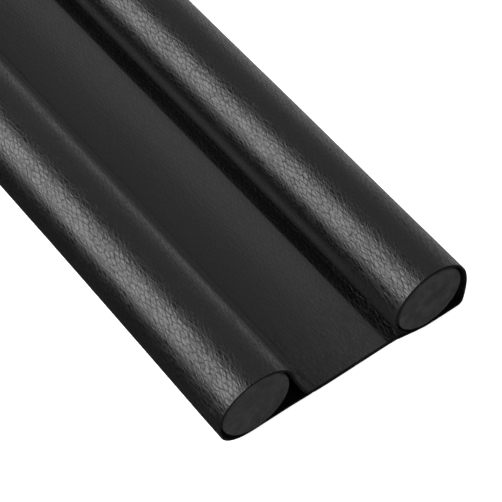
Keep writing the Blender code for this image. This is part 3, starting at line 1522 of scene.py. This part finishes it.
@dataclass(frozen=True)
class StripLight:
    """A low strip lamp that stands beside a roll and faces -X, and isn't itself seen."""

    name: str
    beside: Side
    off: float
    low: float
    high: float
    radiance: float

    def build(self, centre: Vector, length: float) -> None:
        """Stands the lamp along the roll.

        Args:
            centre: the roll's middle.
            length: the roll's length.
        """
        lamp = hang_lamp(self.name, self.high - self.low, length, self.radiance)
        lamp.location = (centre.x + self.off, 0.0, (self.low + self.high) / 2)
        lamp.rotation_euler = (0.0, math.radians(90.0), 0.0)
        lamp.visible_camera = False


@dataclass
class Studio:
    """The camera, the lamps and the pale floor."""

    focus: Vector
    centres: dict[Side, Vector]
    length: float

    # The camera: its bearing from the focus in degrees, its distance, its shift and its lens
    azimuth: float = -37.05
    elevation: float = 52.66
    roll: float = -0.17
    distance: float = 0.7067
    aim_right: float = -0.00178
    aim_up: float = 0.05286
    focal_pixels: float = 2049.0
    frame_pixels: float = 502.0
    sensor: float = 36.0
    nearest: float = 0.05

    # The room and its lamps
    floor_size: float = 30.0
    world_grey: float = 0.03
    lamps: tuple[SoftLight, ...] = (
        SoftLight("band_lamp", (-0.646, 0.484, 0.590), distance=1.5, width=1.3, height=1.23, radiance=5.95),
        SoftLight("side_lamp", (0.619, 0.484, 0.619), distance=2.4, width=2.8, height=3.4, radiance=0.43),
        SoftLight("front_lamp", (0.25, -0.80, 0.55), distance=2.2, width=2.0, height=1.4, radiance=0.9),
    )
    strips: tuple[StripLight, ...] = (
        StripLight("web_strip", Side.RIGHT, off=-0.0172, low=0.003, high=0.033, radiance=0.54),
        StripLight("outer_strip", Side.RIGHT, off=0.0400, low=0.001, high=0.034, radiance=0.60),
    )

    def build(self) -> None:
        """Makes the studio."""
        self.hang_camera()
        for lamp in self.lamps:
            lamp.build(self.focus)
        for strip in self.strips:
            strip.build(self.centres[strip.beside], self.length)
        self.lay_floor()
        world = bpy.data.worlds.new("studio_air")
        world.use_nodes = True
        world.node_tree.nodes["Background"].inputs["Color"].default_value = (*(self.world_grey,) * 3, 1.0)
        bpy.context.scene.world = world
        bpy.context.scene.view_settings.view_transform = "Standard"

    def hang_camera(self) -> None:
        """Puts the camera at the photograph's viewing angle."""
        turn, tilt, roll = (math.radians(a) for a in (self.azimuth, self.elevation, self.roll))
        back = Vector((math.sin(turn) * math.cos(tilt), -math.cos(turn) * math.cos(tilt), math.sin(tilt)))
        level = Vector((math.cos(turn), math.sin(turn), 0.0))
        plumb = back.cross(level)
        right = level * math.cos(roll) + plumb * math.sin(roll)
        up = plumb * math.cos(roll) - level * math.sin(roll)
        data = bpy.data.cameras.new("camera")
        data.sensor_width = self.sensor
        data.lens = self.focal_pixels / self.frame_pixels * self.sensor
        data.clip_start = self.nearest
        camera = bpy.data.objects.new("camera", data)
        place = self.focus + back * self.distance + right * self.aim_right + up * self.aim_up
        turned = Matrix((right, up, back)).transposed().to_4x4()
        camera.matrix_world = Matrix.Translation(place) @ turned
        bpy.context.scene.collection.objects.link(camera)
        bpy.context.scene.camera = camera

    def lay_floor(self) -> None:
        """Lays the floor, which lights the rolls but isn't mirrored in them."""
        deselect_all()
        bpy.ops.mesh.primitive_plane_add(size=self.floor_size, location=(0.0, 0.0, 0.0))
        floor = bpy.context.object
        floor.name = "floor"
        floor.data.materials.append(PaleFloor().material())
        floor.visible_glossy = False


def dress(piece: bpy.types.Object, slot: Slot, *nodes: str) -> None:
    """Puts a piece in the frame.

    Args:
        piece: the finished piece.
        slot: the record's slot; not used.
        nodes: the solids that it stands for.
    """
    if nodes:
        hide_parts(*nodes)
    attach(piece, "root")
    triangles = sum(len(face.vertices) - 2 for face in piece.data.polygons)
    LOG.info("%s: %d triangles", piece.name, triangles)


def main() -> None:
    """Builds the pieces in order, then the studio."""
    logging.basicConfig(level=logging.INFO, format="%(name)s %(message)s")
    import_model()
    rods = {side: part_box(f"rod_{side.value}") for side in Side}
    centres = {side: (low + high) / 2 for side, (low, high) in rods.items()}
    length = -2 * rods[Side.RIGHT][0].y
    section = Section(centres[Side.LEFT].x, centres[Side.RIGHT].x, centres[Side.LEFT].z, length)
    stitches = Stitching(section).build()
    dress(stitches, Slot.LEATHERETTE)
    for side, (low, high) in rods.items():
        rod = FoamRod(side, low, high).build()
        dress(rod, Slot.FOAM, f"rod_{side.value}")
    sleeve = Sleeve(section).build()
    dress(sleeve, Slot.LEATHERETTE, "sleeve")
    focus = Vector((centres[Side.LEFT].x, -length / 2 + FOCUS_INSET, centres[Side.LEFT].z))
    Studio(focus, centres, length).build()


if __name__ == "__main__":
    main()
